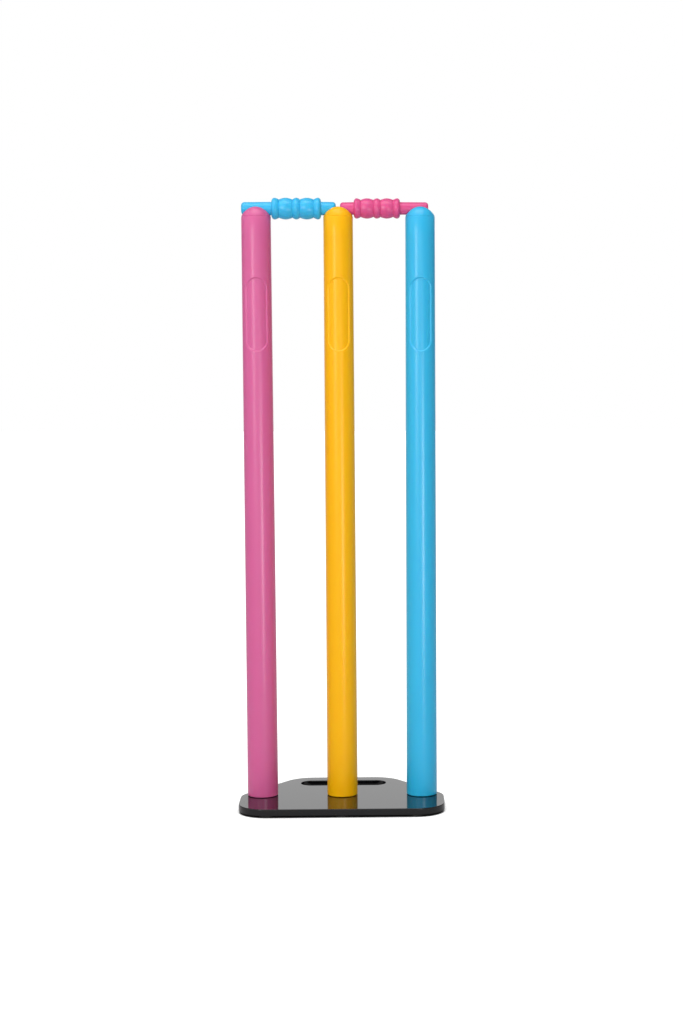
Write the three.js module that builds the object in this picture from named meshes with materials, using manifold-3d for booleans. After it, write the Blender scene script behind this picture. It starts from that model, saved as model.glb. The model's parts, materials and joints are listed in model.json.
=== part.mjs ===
// Free-standing cricket wicket: moulded stumps screwed to a flat base plate, and bails in their grooves.
// Lengths are in millimetres. +X runs along the wicket, +Y from its front to its rear, +Z up.
// The origin lies on the ground under the middle of the base plate.

import * as THREE from 'three';
import { mergeVertices } from 'three/addons/utils/BufferGeometryUtils.js';
import Module from 'manifold-3d';

const wasm = await Module();
wasm.setup();

// The wicket as a whole
const seat_gap = 0.3;
const cut_overrun = 5;

// Base plate: six rounded corners, wide at the front and narrow at the rear
const plate_side_reach = 26.2;
const plate_front_reach = 78;
const plate_rear_reach = 97;
const plate_thickness = 8;
const plate_rear_width = 116;
const shoulder_from_front = 78.5;
const front_corner_radius = 34;
const shoulder_radius = 30;
const rear_corner_radius = 38;
const plate_edge_round = 0.8;

// Hand slot in the rear of the plate, with full-round ends
const slot_length = 105;
const slot_width = 27.5;
const slot_from_rear = 33;

// Rubber pads under the plate, in a front and a rear row
const pad_diameter = 16;
const pad_height = 2;
const pad_edge_chamfer = 0.5;
const front_pad_inset = 10;

// Stump: tapered tube with a domed top
const stump_length = 700.4;
const stump_foot_diameter = 36.5;
const stump_top_diameter = 34.6;
const stump_wall = 3;
const stump_foot_round = 1.2;
const dome_height = 13.3;

// Groove for the bails across the dome, along the wicket
const bail_clearance = 0.9;
const groove_floor_rise = 1.4;
const crown_wall = 5;
const hollow_end_round = 6;

// Sunk panel on the front of the stump, a stadium that follows the round wall
const panel_width = 25.5;
const panel_height = 86;
const panel_depth = 0.8;
const panel_below_dome = 70.4;

// Foot plug: flange let into the stump's foot, ribbed shank in its hollow
const flange_height = 2;
const flange_reach = 1;
const flange_fit_gap = 0.3;
const plug_length = 30;
const plug_floor = 6;
const plug_fit_gap = 0.3;
const plug_rib_count = 3;
const plug_rib_depth = 1;
const plug_rib_height = 4;

// Threaded insert in the plug
const insert_diameter = 11.6;
const insert_length = 14;
const insert_knurl_depth = 0.6;
const insert_fit_gap = 0.3;

// Countersunk screw from under the plate
const screw_diameter = 8;
const screw_length = 25;
const screw_head_diameter = 16;
const screw_head_edge = 0.5;
const screw_tip_chamfer = 1;
const screw_recess = 0.2;
const screw_hole_gap = 0.5;
const thread_gap = 0.3;
const hex_socket_width = 5;
const hex_socket_depth = 2.6;

// Bail: long spigot, turned barrel, short spigot
const barrel_length = 58;
const barrel_play = 3.2;
const barrel_diameter = 25;
const barrel_valley_diameter = 22.2;
const collar_shoulder = 1.8;
const spigot_diameter = 15.6;
const spigot_draft = 0.25;
const spigot_end_round = 3.8;
const long_spigot = 35.2;
const short_spigot = 17.2;

// The five beads of the barrel, from end to end, as shares of its length
const bead_width_shares = [0.16, 0.258, 0.164, 0.258, 0.16];
// The right-hand bail is a smaller turning of the same shape
const left_bail_size_share = 1;
const right_bail_size_share = 0.935;
// How far each bail lies from the middle of its gap, towards the left
const left_bail_shift = 1.8;
const right_bail_shift = 3.8;

// Steps and sides of the round forms
const stump_sides = 48;
const dome_steps = 7;
const groove_steps = 12;
const panel_steps = 12;
const bail_sides = 24;
const bead_steps = 4;
const edge_steps = 3;
const plate_edge_steps = 2;
const plug_sides = 18;
const insert_sides = 18;
const screw_sides = 20;
const pad_sides = 20;
const corner_steps = 5;

// Colours and finishes
const stump_colours = { left: 0xd96c9c, middle: 0xf3b81a, right: 0x4bbce6 };
const bail_colours = { left: 0x2fb0e2, right: 0xe3669a };
const plate_colour = 0x2b2b30;
const plug_colour = 0x1c1c1f;
const pad_colour = 0x232323;
const brass_colour = 0xb5934a;
const screw_colour = 0xa9adb2;
const moulded = { roughness: 0.4, metalness: 0 };
const coated = { roughness: 0.4, metalness: 0.3 };
const nylon = { roughness: 0.55, metalness: 0 };
const rubber = { roughness: 0.85, metalness: 0 };
const brass = { roughness: 0.35, metalness: 1 };
const steel = { roughness: 0.3, metalness: 1 };

// Heights of the stack, from the ground up
const plate_bottom = pad_height + seat_gap;
const plate_top = plate_bottom + plate_thickness;
const stump_bottom = plate_top + seat_gap;
const dome_base = stump_length - dome_height;
const groove_floor = dome_base + groove_floor_rise;

// Places on the plate. The stumps stand as far apart as a barrel and its play between two of them need
const stump_spacing = stump_top_diameter + barrel_length + barrel_play;
const plate_width = 2 * (stump_spacing + plate_side_reach);
const plate_depth = plate_front_reach + plate_rear_reach;
const plate_front = -plate_depth / 2;
const plate_rear = plate_depth / 2;
const stump_row = plate_front + plate_front_reach;
const slot_middle = plate_rear - slot_from_rear;

// Sizes that follow from the ones above
const foot_radius = stump_foot_diameter / 2;
const top_radius = stump_top_diameter / 2;
const spigot_radius = spigot_diameter / 2;
const screw_radius = screw_diameter / 2;
const screw_head_radius = screw_head_diameter / 2;
const groove_radius = spigot_radius + bail_clearance / 2;

// Outer radius of the stump's taper at a height above its foot
function stumpRadius(height) {
  return foot_radius + (top_radius - foot_radius) * height / dome_base;
}

// Points of an arc in a profile or outline, from one angle to another
function arcPoints(x, y, radius, start, end, steps) {
  const points = [];
  for (let step = 0; step <= steps; step += 1) {
    const angle = start + (end - start) * step / steps;
    points.push([x + radius * Math.cos(angle), y + radius * Math.sin(angle)]);
  }
  return points;
}

// Solid of revolution about +Z from a profile of [radius, height] points
function revolve(profile, sides) {
  const points = profile.map(([radius, height]) => new THREE.Vector2(radius, height));
  return new THREE.LatheGeometry(points, sides).rotateX(Math.PI / 2);
}

function toSolid(geometry) {
  const bare = geometry.clone();
  bare.deleteAttribute('normal');
  bare.deleteAttribute('uv');
  const merged = mergeVertices(bare);
  return new wasm.Manifold(new wasm.Mesh({
    numProp: 3,
    vertProperties: new Float32Array(merged.attributes.position.array),
    triVerts: new Uint32Array(merged.index.array),
  }));
}

function toGeometry(solid) {
  const mesh = solid.getMesh();
  const geometry = new THREE.BufferGeometry();
  geometry.setAttribute('position', new THREE.BufferAttribute(mesh.vertProperties, 3));
  geometry.setIndex(new THREE.BufferAttribute(mesh.triVerts, 1));
  geometry.computeVertexNormals();
  return geometry;
}

// Closed outline through corners of [x, y, radius], each rounded by an arc that touches both its sides
function roundedOutline(corners) {
  const shape = new THREE.Shape();
  corners.forEach(([x, y, radius], index) => {
    const corner = new THREE.Vector2(x, y);
    const before = corners[(index + corners.length - 1) % corners.length];
    const after = corners[(index + 1) % corners.length];
    const incoming = corner.clone().sub(new THREE.Vector2(before[0], before[1])).normalize();
    const outgoing = new THREE.Vector2(after[0], after[1]).sub(corner).normalize();
    const turn = Math.acos(incoming.dot(outgoing));
    const start = corner.clone().addScaledVector(incoming, -radius * Math.tan(turn / 2));
    const centre = start.clone().add(new THREE.Vector2(-incoming.y, incoming.x).multiplyScalar(radius));
    const startAngle = Math.atan2(start.y - centre.y, start.x - centre.x);
    shape.absarc(centre.x, centre.y, radius, startAngle, startAngle + turn, false);
  });
  return shape;
}

// Slot or panel outline: straight sides with full-round ends, its long way along X or along Y
function stadium(length, width, alongY) {
  const radius = width / 2;
  const reach = length / 2 - radius;
  const quarter = Math.PI / 2;
  const shape = new THREE.Shape();
  if (alongY) {
    shape.absarc(0, reach, radius, 0, 2 * quarter, false);
    shape.absarc(0, -reach, radius, 2 * quarter, 4 * quarter, false);
  } else {
    shape.absarc(reach, 0, radius, -quarter, quarter, false);
    shape.absarc(-reach, 0, radius, quarter, 3 * quarter, false);
  }
  return shape;
}

// Base plate, from its underside up, with its edges and the slot's edges rounded over
function basePlateGeometry() {
  const half_width = plate_width / 2;
  const half_rear = plate_rear_width / 2;
  const shoulder = plate_front + shoulder_from_front;
  const outline = roundedOutline([
    [-half_width, plate_front, front_corner_radius],
    [half_width, plate_front, front_corner_radius],
    [half_width, shoulder, shoulder_radius],
    [half_rear, plate_rear, rear_corner_radius],
    [-half_rear, plate_rear, rear_corner_radius],
    [-half_width, shoulder, shoulder_radius],
  ]);
  const slot = stadium(slot_length, slot_width, false);
  const slotPoints = slot.getPoints(corner_steps).map((point) => point.setY(point.y + slot_middle));
  outline.holes.push(new THREE.Path(slotPoints));
  const blank = new THREE.ExtrudeGeometry(outline, {
    depth: plate_thickness - 2 * plate_edge_round,
    bevelThickness: plate_edge_round,
    bevelSize: plate_edge_round,
    bevelOffset: -plate_edge_round,
    bevelSegments: plate_edge_steps,
    curveSegments: corner_steps,
  }).translate(0, 0, plate_edge_round);
  let plate = toSolid(blank);
  for (const place of [-1, 0, 1]) {
    const hole = revolve(screwHoleProfile(), screw_sides).translate(place * stump_spacing, stump_row, 0);
    plate = plate.subtract(toSolid(hole));
  }
  return toGeometry(plate);
}

// Countersunk hole for a base screw, wider than the screw all round
function screwHoleProfile() {
  const hole_radius = screw_radius + screw_hole_gap;
  const sink_radius = screw_head_radius + screw_hole_gap;
  const sink_bottom = screw_recess + screw_head_edge;
  return [
    [0, -cut_overrun],
    [sink_radius, -cut_overrun],
    [sink_radius, sink_bottom],
    [hole_radius, sink_bottom + sink_radius - hole_radius],
    [hole_radius, plate_thickness + cut_overrun],
    [0, plate_thickness + cut_overrun],
  ];
}

// Ground pad: rubber disc, its lower rim chamfered
function padGeometry() {
  const radius = pad_diameter / 2;
  return revolve([
    [0, 0],
    [radius - pad_edge_chamfer, 0],
    [radius, pad_edge_chamfer],
    [radius, pad_height],
    [0, pad_height],
  ], pad_sides);
}

// Stump, from its foot up: tapered wall, domed top, bail groove, sunk panel and the hollow of the moulding
function stumpGeometry() {
  const dome_radius = (top_radius ** 2 + dome_height ** 2) / (2 * dome_height);
  const dome_centre = stump_length - dome_radius;
  const dome_start = Math.atan2(dome_base - dome_centre, top_radius);
  const dome = arcPoints(0, dome_centre, dome_radius, dome_start, Math.PI / 2, dome_steps);
  dome[dome_steps] = [0, stump_length];
  const round = stump_foot_round;
  const outer = toSolid(revolve([
    [0, 0],
    ...arcPoints(foot_radius - round, round, round, -Math.PI / 2, 0, edge_steps),
    ...dome,
  ], stump_sides));
  return toGeometry(outer.subtract(hollowSolid()).subtract(grooveSolid()).subtract(panelSolid()));
}

// The hollow keeps the wall's thickness, from a rebate for the plug's flange up to a rounded crown
function hollowSolid() {
  const top = groove_floor - crown_wall;
  const end_radius = stumpRadius(top) - stump_wall;
  const rounding = arcPoints(
    end_radius - hollow_end_round, top - hollow_end_round, hollow_end_round, 0, Math.PI / 2, edge_steps);
  const rebate_radius = foot_radius - stump_wall + flange_reach;
  const rebate_top = flange_height + seat_gap;
  return toSolid(revolve([
    [0, -cut_overrun],
    [rebate_radius, -cut_overrun],
    [rebate_radius, rebate_top],
    [stumpRadius(rebate_top) - stump_wall, rebate_top],
    ...rounding,
    [0, top],
  ], stump_sides));
}

// Bail groove: half-round floor and upright sides, open along X and at the top
function grooveSolid() {
  const centre = groove_floor + groove_radius;
  const top = stump_length + cut_overrun;
  const length = 2 * (foot_radius + cut_overrun);
  const outline = new THREE.Shape();
  outline.moveTo(groove_radius, top);
  outline.lineTo(-groove_radius, top);
  outline.absarc(0, centre, groove_radius, Math.PI, 2 * Math.PI, false);
  const bar = new THREE.ExtrudeGeometry(outline, {
    depth: length, bevelEnabled: false, curveSegments: groove_steps / 2,
  });
  return toSolid(bar.rotateX(Math.PI / 2).rotateZ(Math.PI / 2).translate(-length / 2, 0, 0));
}

// Sunk panel: what lies between the stadium's prism and a wall that is thinner by the panel's depth
function panelSolid() {
  const middle = dome_base - panel_below_dome - panel_height / 2;
  const reach = panel_height / 2 + cut_overrun;
  const prism = new THREE.ExtrudeGeometry(stadium(panel_height, panel_width, true), {
    depth: foot_radius + cut_overrun, bevelEnabled: false, curveSegments: panel_steps / 2,
  }).rotateX(Math.PI / 2).translate(0, 0, middle);
  const core = revolve([
    [0, middle - reach],
    [stumpRadius(middle - reach) - panel_depth, middle - reach],
    [stumpRadius(middle + reach) - panel_depth, middle + reach],
    [0, middle + reach],
  ], stump_sides);
  return toSolid(prism).subtract(toSolid(core));
}

// Foot plug, from its underside up: flange, ribbed shank, pocket for the insert and screw passage
function plugGeometry() {
  const flange_radius = foot_radius - stump_wall + flange_reach - flange_fit_gap;
  const passage_radius = screw_radius + screw_hole_gap;
  const pocket_radius = insert_diameter / 2 + insert_fit_gap;
  const boreRadius = (height) => stumpRadius(height) - stump_wall;
  const core_radius = boreRadius(plug_length) - plug_fit_gap - plug_rib_depth;
  const rib_pitch = (plug_length - flange_height) / (plug_rib_count + 1);
  const ribs = [];
  for (let rib = 1; rib <= plug_rib_count; rib += 1) {
    const low = flange_height + rib * rib_pitch - plug_rib_height / 2;
    const high = low + plug_rib_height;
    const rib_radius = boreRadius(low) - plug_fit_gap;
    ribs.push([core_radius, low], [rib_radius, low], [core_radius, high]);
  }
  return revolve([
    [passage_radius, 0],
    [flange_radius, 0],
    [flange_radius, flange_height],
    [core_radius, flange_height],
    ...ribs,
    [core_radius, plug_length],
    [pocket_radius, plug_length],
    [pocket_radius, plug_floor],
    [passage_radius, plug_floor],
    [passage_radius, 0],
  ], plug_sides);
}

// Threaded insert: two gripping bands with a neck between them
function insertGeometry() {
  const radius = insert_diameter / 2;
  const neck_radius = radius - insert_knurl_depth;
  const bore_radius = screw_radius + thread_gap;
  const band = insert_length / 3;
  return revolve([
    [bore_radius, 0],
    [neck_radius, 0],
    [radius, insert_knurl_depth],
    [radius, band],
    [neck_radius, band + insert_knurl_depth],
    [neck_radius, 2 * band - insert_knurl_depth],
    [radius, 2 * band],
    [radius, insert_length - insert_knurl_depth],
    [neck_radius, insert_length],
    [bore_radius, insert_length],
    [bore_radius, 0],
  ], insert_sides);
}

// Base screw, from its flat head up, with a hexagon socket in the head
function screwGeometry() {
  const cone_top = screw_head_edge + screw_head_radius - screw_radius;
  const body = toSolid(revolve([
    [0, 0],
    [screw_head_radius, 0],
    [screw_head_radius, screw_head_edge],
    [screw_radius, cone_top],
    [screw_radius, screw_length - screw_tip_chamfer],
    [screw_radius - screw_tip_chamfer, screw_length],
    [0, screw_length],
  ], screw_sides));
  const corner_radius = hex_socket_width / Math.sqrt(3);
  const height = hex_socket_depth + cut_overrun;
  const socket = new THREE.CylinderGeometry(corner_radius, corner_radius, height, 6)
    .rotateX(Math.PI / 2).translate(0, 0, hex_socket_depth - height / 2);
  return toGeometry(body.subtract(toSolid(socket)));
}

// Bail along +Z, from the end of its long spigot, at a share of the full size
function bailGeometry(share) {
  const valley_radius = barrel_valley_diameter / 2;
  const bead_rise = (barrel_diameter - barrel_valley_diameter) / 2;
  const end_radius = spigot_radius - spigot_draft;
  const total = long_spigot + barrel_length + short_spigot;
  const quarter = Math.PI / 2;
  const round = spigot_end_round;
  const beads = [];
  let start = long_spigot;
  bead_width_shares.forEach((width_share, index) => {
    const end = start + width_share * barrel_length;
    const low = index === 0 ? start + collar_shoulder : start;
    const high = index === bead_width_shares.length - 1 ? end - collar_shoulder : end;
    const half = (high - low) / 2;
    const bow = (half ** 2 + bead_rise ** 2) / (2 * bead_rise);
    const spread = Math.asin(half / bow);
    beads.push(...arcPoints(valley_radius + bead_rise - bow, low + half, bow, -spread, spread, bead_steps));
    start = end;
  });
  const profile = [
    [0, 0],
    ...arcPoints(end_radius - round, round, round, -quarter, 0, edge_steps),
    [spigot_radius, long_spigot],
    ...beads,
    [spigot_radius, long_spigot + barrel_length],
    ...arcPoints(end_radius - round, total - round, round, 0, quarter, edge_steps),
    [0, total],
  ];
  return revolve(profile, bail_sides).scale(share, share, share);
}

function piece(name, geometry, color, finish) {
  const mesh = new THREE.Mesh(geometry, new THREE.MeshStandardMaterial({ color, ...finish }));
  mesh.name = name;
  return mesh;
}

// One stump with its plug, insert and screw, on its own axis
function stumpSet(side) {
  const set = new THREE.Group();
  const stump = piece(`${side}_stump`, stumpGeometry(), stump_colours[side], moulded);
  stump.position.z = stump_bottom;
  const plug = piece(`${side}_foot_plug`, plugGeometry(), plug_colour, nylon);
  plug.position.z = stump_bottom;
  const insert = piece(`${side}_insert`, insertGeometry(), brass_colour, brass);
  insert.position.z = stump_bottom + plug_floor + seat_gap;
  const screw = piece(`${side}_base_screw`, screwGeometry(), screw_colour, steel);
  screw.position.z = plate_bottom + screw_recess;
  set.add(stump, plug, insert, screw);
  return set;
}

// Ground pads: the outer ones of each row stand where the plate's straight edge ends
function groundPads() {
  const pads = new THREE.Group();
  const slant_run = plate_depth - shoulder_from_front;
  const rear_turn = Math.atan2(slant_run, (plate_width - plate_rear_width) / 2);
  const rear_reach = plate_rear_width / 2 - rear_corner_radius * Math.tan(rear_turn / 2);
  const rear_bar = slot_from_rear - slot_width / 2;
  const rows = [
    ['front', plate_width / 2 - front_corner_radius, plate_front + front_pad_inset],
    ['rear', rear_reach, plate_rear - rear_bar / 2],
  ];
  for (const [row, reach, y] of rows) {
    for (const [side, place] of [['left', -1], ['middle', 0], ['right', 1]]) {
      const pad = piece(`${row}_${side}_pad`, padGeometry(), pad_colour, rubber);
      pad.position.set(place * reach, y, 0);
      pads.add(pad);
    }
  }
  return pads;
}

// A bail in the grooves of two stumps; its long spigot lies towards the wicket's outer end
function bail(side, place, share, shift) {
  const mesh = piece(`${side}_bail`, bailGeometry(share), bail_colours[side], moulded);
  const barrel_middle = place * stump_spacing / 2 - shift;
  const long_end = barrel_middle + place * share * (long_spigot + barrel_length / 2);
  const axis_height = stump_bottom + groove_floor + seat_gap + share * spigot_radius;
  mesh.rotation.y = -place * Math.PI / 2;
  mesh.position.set(long_end, stump_row, axis_height);
  return mesh;
}

const wicket = new THREE.Group();

const base_plate = piece('base_plate', basePlateGeometry(), plate_colour, coated);
base_plate.position.z = plate_bottom;
wicket.add(base_plate, groundPads());

for (const [side, place] of [['left', -1], ['middle', 0], ['right', 1]]) {
  const set = stumpSet(side);
  set.position.set(place * stump_spacing, stump_row, 0);
  wicket.add(set);
}

wicket.add(
  bail('left', -1, left_bail_size_share, left_bail_shift),
  bail('right', 1, right_bail_size_share, right_bail_shift),
);

export default wicket;
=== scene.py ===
"""Looks of a free-standing cricket wicket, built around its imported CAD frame.

Lengths are in metres, in the frame of the CAD part: +X runs along the wicket,
+Y from its front to its rear, +Z up, and the origin lies on the ground.
"""

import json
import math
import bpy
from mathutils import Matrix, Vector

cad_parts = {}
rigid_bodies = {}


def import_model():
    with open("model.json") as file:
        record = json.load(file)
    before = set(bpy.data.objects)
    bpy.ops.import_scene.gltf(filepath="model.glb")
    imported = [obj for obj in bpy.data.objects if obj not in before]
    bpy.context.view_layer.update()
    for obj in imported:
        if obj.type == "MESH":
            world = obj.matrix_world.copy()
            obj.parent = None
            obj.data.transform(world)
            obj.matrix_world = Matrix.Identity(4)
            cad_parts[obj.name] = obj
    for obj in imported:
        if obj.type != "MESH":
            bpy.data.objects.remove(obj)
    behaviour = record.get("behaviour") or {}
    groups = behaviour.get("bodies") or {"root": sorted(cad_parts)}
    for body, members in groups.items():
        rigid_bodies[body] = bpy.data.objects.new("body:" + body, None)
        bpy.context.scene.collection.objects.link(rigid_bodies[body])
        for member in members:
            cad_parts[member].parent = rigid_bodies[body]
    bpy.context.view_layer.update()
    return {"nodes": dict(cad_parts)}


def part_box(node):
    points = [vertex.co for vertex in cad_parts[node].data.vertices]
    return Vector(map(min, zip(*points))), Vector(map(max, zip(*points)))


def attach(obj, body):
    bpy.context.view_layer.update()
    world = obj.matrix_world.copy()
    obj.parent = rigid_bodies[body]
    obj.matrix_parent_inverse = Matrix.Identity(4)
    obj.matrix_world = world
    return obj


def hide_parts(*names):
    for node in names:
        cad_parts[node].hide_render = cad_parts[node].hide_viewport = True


bl_info = {
    "name": "Cricket Wicket",
    "version": (1, 0, 0),
    "blender": (4, 5, 0),
    "location": "View3D > Sidebar > Wicket",
    "description": "Builds a cricket wicket piece by piece, and the studio it stands in",
    "category": "Object",
}

import bmesh
import bpy
from bpy.props import FloatProperty, FloatVectorProperty, IntProperty, PointerProperty
from mathutils import Matrix, Vector

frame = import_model()

SIDES = ("left", "middle", "right")
# What is modelled in the middle is placed last, so that its copies don't take over its CAD node
MIDDLE_LAST = ("left", "right", "middle")
QUARTER = math.pi / 2
FULL = 2 * math.pi
SAME_SPOT = 0.00001

# How finely the shapes are divided
SMALL_ARC_STEPS = 6
DOME_STEPS = 20
COARSE_ROWS = 10
UPPER_ROWS = 3
GROOVE_FLOOR_STEPS = 48
GROOVE_SIDE_STEPS = 20
GROOVE_CELLS = 100
BEAD_STEPS = 24
FLANK_STEPS = 10
SPIGOT_END_STEPS = 8
HOLE_STEPS = 64
PAD_STEPS = 64
SCREW_STEPS = 48

# Places that come from the CAD frame
PLATE_LOW, PLATE_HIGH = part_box("base_plate")
STUMP_LOW, STUMP_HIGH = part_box("middle_stump")
LEFT_BAIL_LOW, LEFT_BAIL_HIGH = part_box("left_bail")
RIGHT_BAIL_LOW, RIGHT_BAIL_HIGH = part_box("right_bail")
SCREW_LOW, SCREW_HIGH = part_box("middle_base_screw")
ROW = (STUMP_LOW.y + STUMP_HIGH.y) / 2


def node_middle(node):
    """The middle of a CAD node's box."""
    low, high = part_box(node)
    return (low + high) / 2


def linear(code):
    """An sRGB hex colour as linear red, green and blue."""
    values = [int(code[i : i + 2], 16) / 255 for i in (0, 2, 4)]
    return [v / 12.92 if v <= 0.04045 else ((v + 0.055) / 1.055) ** 2.4 for v in values]


def size(name, description, default):
    """A setting that is a length."""
    return FloatProperty(
        name=name,
        description=description,
        default=default,
        min=0.0,
        precision=5,
        subtype="DISTANCE",
        unit="LENGTH",
    )


def share(name, description, default):
    """A setting from 0 to 1."""
    return FloatProperty(
        name=name, description=description, default=default, min=0.0, max=1.0, subtype="FACTOR"
    )


def colour(name, description, code):
    """A setting that is a colour, given as sRGB hex."""
    return FloatVectorProperty(
        name=name,
        description=description,
        default=linear(code),
        size=3,
        min=0.0,
        max=1.0,
        subtype="COLOR",
    )


def count(name, description, default):
    """A setting that is a number of faces."""
    return IntProperty(name=name, description=description, default=default, min=3)


class WicketStumpSizes(bpy.types.PropertyGroup):
    """Sizes and colours of the stumps."""

    foot_diameter: size("Foot Diameter", "Outer diameter at the foot", STUMP_HIGH.x - STUMP_LOW.x)
    top_diameter: size("Top Diameter", "Outer diameter where the dome begins", 0.0346)
    length: size("Length", "From the foot to the crown of the dome, as if it had no groove", 0.7004)
    wall: size("Wall", "Thickness of the moulded wall", 0.003)
    foot_round: size("Foot Rounding", "Radius of the foot's outer edge", 0.0012)
    rebate_width: size("Rebate Width", "How far the foot is let in for the plug's flange", 0.001)
    rebate_depth: size("Rebate Depth", "Depth of the foot's rebate", 0.0023)
    dome_height: size("Dome Height", "Rise of the dome over its base", 0.0133)
    seam_depth: size("Seam Depth", "Depth of the fine line at the base of the dome", 0.0004)
    seam_width: size("Seam Width", "Width of that line", 0.001)
    groove_width: size("Groove Width", "Width of the bail groove", 0.0165)
    groove_rise: size("Groove Rise", "Height of the groove's floor over the dome's base", 0.0014)
    groove_softening: share("Groove Softening", "How strongly the groove's rim is rounded", 0.5)
    crown_wall: size("Crown Wall", "Plastic left between groove and hollow", 0.005)
    hollow_round: size("Hollow Rounding", "Radius at the upper end of the hollow", 0.006)
    panel_width: size("Panel Width", "Width of the sunk panel", 0.0255)
    panel_height: size("Panel Height", "Height of the sunk panel", 0.086)
    panel_depth: size("Panel Depth", "How far the panel lies below the wall", 0.0012)
    panel_rim: size("Panel Rim", "Width of the slope around the panel", 0.0012)
    panel_drop: size("Panel Drop", "From the dome's base down to the panel", 0.0704)
    row_height: size("Row Height", "Height of the faces that carry the panel", 0.0004)
    steps: count("Steps", "Faces around a stump", 300)
    left_colour: colour("Left Colour", "Pink of the left stump", "D36097")
    middle_colour: colour("Middle Colour", "Yellow of the middle stump", "F9B702")
    right_colour: colour("Right Colour", "Blue of the right stump", "2CB6E4")


class WicketBailSizes(bpy.types.PropertyGroup):
    """Sizes and colours of the bails. The right one is a smaller turning of the left one."""

    barrel_length: size("Barrel Length", "From the root of one spigot to that of the other", 0.058)
    crown_diameter: size(
        "Crown Diameter", "Diameter over the beads", LEFT_BAIL_HIGH.z - LEFT_BAIL_LOW.z
    )
    valley_diameter: size("Valley Diameter", "Diameter between the beads", 0.0216)
    notch_depth: size("Notch Depth", "How much deeper the line between two beads is cut", 0.0005)
    notch_width: size("Notch Width", "Width of that line", 0.0006)
    flank: size("Flank", "Length of the rounded outer flank of a collar", 0.0036)
    spigot_diameter: size("Spigot Diameter", "Diameter of a spigot at its root", 0.0156)
    spigot_draft: size("Spigot Draft", "How much smaller a spigot's radius is at its end", 0.00025)
    spigot_round: size("Spigot Rounding", "Radius of a spigot's end", 0.0038)
    long_spigot: size("Long Spigot", "Length of the outer spigot", 0.0352)
    short_spigot: size("Short Spigot", "Length of the inner spigot", 0.0172)
    collar_share: share("Collar Share", "Width of an end collar as a share of the barrel", 0.152)
    bead_share: share("Bead Share", "Width of a large bead as a share of the barrel", 0.27)
    crown_softness: share("Crown Softness", "Low for straight flanks, high for a round bead", 0.9)
    left_shift: size("Left Shift", "How far the left bail has slid towards the right", 0.001)
    right_shift: size("Right Shift", "How far the right bail has slid towards the right", 0.0013)
    right_lift: size("Right Lift", "How much higher the thin spigots of the right bail lie", 0.0006)
    steps: count("Steps", "Faces around a bail", 96)
    left_colour: colour("Left Colour", "Blue of the left bail", "34B6E6")
    right_colour: colour("Right Colour", "Pink of the right bail", "DA508A")


class WicketPlateSizes(bpy.types.PropertyGroup):
    """Sizes and colour of the base plate."""

    rear_width: size("Rear Width", "Width of the rear side before its corners are rounded", 0.116)
    shoulder: size("Shoulder", "From the front edge back to where the sides turn inwards", 0.0785)
    front_radius: size("Front Radius", "Radius of the front corners", 0.034)
    shoulder_radius: size("Shoulder Radius", "Radius where the sides turn inwards", 0.030)
    rear_radius: size("Rear Radius", "Radius of the rear corners", 0.038)
    edge_round: size("Edge Rounding", "Radius of the plate's edges", 0.0008)
    slot_length: size("Slot Length", "Length of the hand slot", 0.105)
    slot_width: size("Slot Width", "Width of the hand slot", 0.0275)
    slot_inset: size("Slot Inset", "From the rear edge to the middle of the slot", 0.033)
    hole_diameter: size("Hole Diameter", "Bore for a base screw", 0.009)
    sink_diameter: size("Sink Diameter", "Countersink for the head of a base screw", 0.017)
    sink_rim: size("Sink Rim", "Straight part of the countersink", 0.0007)
    corner_steps: count("Corner Steps", "Faces in each rounded corner", 24)
    coating: colour("Coating", "Black of the coating", "0D0D10")


class WicketFixingSizes(bpy.types.PropertyGroup):
    """Sizes and colours of the base screws, the ground pads and what is hidden in the feet."""

    head_rim: size("Head Rim", "Straight edge of a screw's head", 0.0005)
    thread_diameter: size("Thread Diameter", "Outer diameter of a screw's thread", 0.008)
    thread_depth: size("Thread Depth", "Depth of a screw's thread", 0.0006)
    thread_pitch: size("Thread Pitch", "Rise of a screw's thread in one turn", 0.00125)
    tip_chamfer: size("Tip Chamfer", "Chamfer at the tip of a screw", 0.001)
    socket_width: size("Socket Width", "Width of the hexagon socket across its flats", 0.005)
    socket_depth: size("Socket Depth", "Depth of the hexagon socket", 0.0026)
    edge_break: size("Edge Break", "Rounding of a screw's edges", 0.00015)
    pad_round: size("Pad Rounding", "Radius of a ground pad's lower rim", 0.0005)
    pad_dish: size("Pad Dish", "Depth of the shallow dish under a ground pad", 0.0004)
    dish_share: share("Dish Share", "Width of that dish as a share of the pad", 0.6)
    steel: colour("Steel", "Zinc-plated steel of the screws", "A9ADB2")
    brass: colour("Brass", "Brass of the inserts", "B5934A")
    nylon: colour("Nylon", "Black nylon of the foot plugs", "1C1C1F")
    rubber: colour("Rubber", "Black rubber of the ground pads", "232323")


class WicketStudioSizes(bpy.types.PropertyGroup):
    """Camera and floor."""

    floor_colour: colour("Floor", "Pale grey of the floor's paint", "B4B4B4")
    focal_length: FloatProperty(
        name="Focal Length",
        description="Focal length of the camera in millimetres",
        default=66.12,
        min=1.0,
    )


CLASSES_OF_SIZES = (
    ("wicket_stumps", WicketStumpSizes),
    ("wicket_bails", WicketBailSizes),
    ("wicket_plate", WicketPlateSizes),
    ("wicket_fixings", WicketFixingSizes),
    ("wicket_studio", WicketStudioSizes),
)


# Drawing and cutting


def arc(x, z, radius, start, end, steps):
    """Points of an arc from one angle to another."""
    angles = [start + (end - start) * i / steps for i in range(steps + 1)]
    return [(x + radius * math.cos(a), z + radius * math.sin(a)) for a in angles]


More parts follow.
